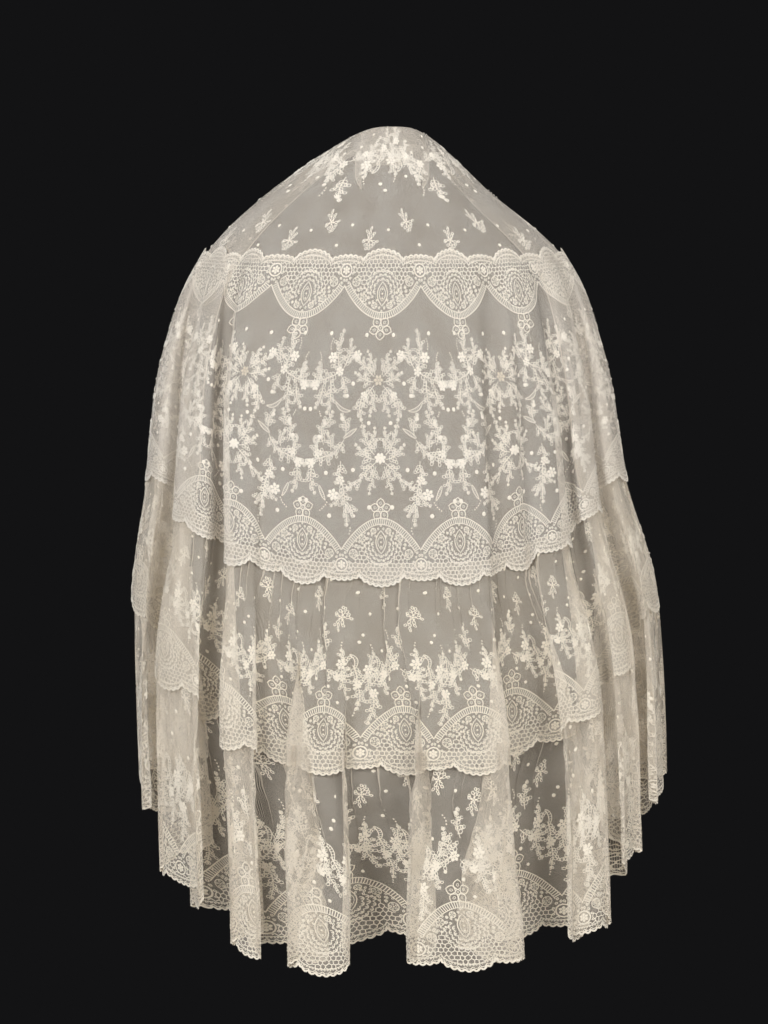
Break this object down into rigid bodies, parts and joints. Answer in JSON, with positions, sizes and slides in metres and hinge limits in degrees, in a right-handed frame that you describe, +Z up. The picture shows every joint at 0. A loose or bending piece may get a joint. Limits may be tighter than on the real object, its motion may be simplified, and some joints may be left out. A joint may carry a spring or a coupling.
{
  "type": "tiered lace mantilla, worn form",
  "caption": "Tiered shawl of embroidered net lace with a smooth neck flounce, a bordered back panel and gathered flounces, hollow and open in front.",
  "frame": {"origin": "middle of the neck, level with the top fold at the nape", "axes": "+Z up along the hanging length, -Y towards the back of the garment, +X towards the wearer's right"},
  "size_m": [0.6303, 0.3403, 0.9581],
  "materials": {
    "neck_lace": "sheer ivory cotton net, machine embroidered in chain stitch",
    "panel_lace": "sheer ivory cotton net, densely embroidered, with a worked border on both long edges",
    "flounce_lace": "sheer ivory cotton net, finely gathered, with sprigs and a worked border",
    "hem_lace": "sheer ivory cotton net, finely gathered, with sprigs and a worked border, warmer where it doubles"
  },
  "bodies": {
    "root": {"neck_flounce": "neck_lace", "back_panel": "panel_lace", "first_flounce": "flounce_lace", "hem_flounce": "hem_lace"}
  },
  "joints": []
}
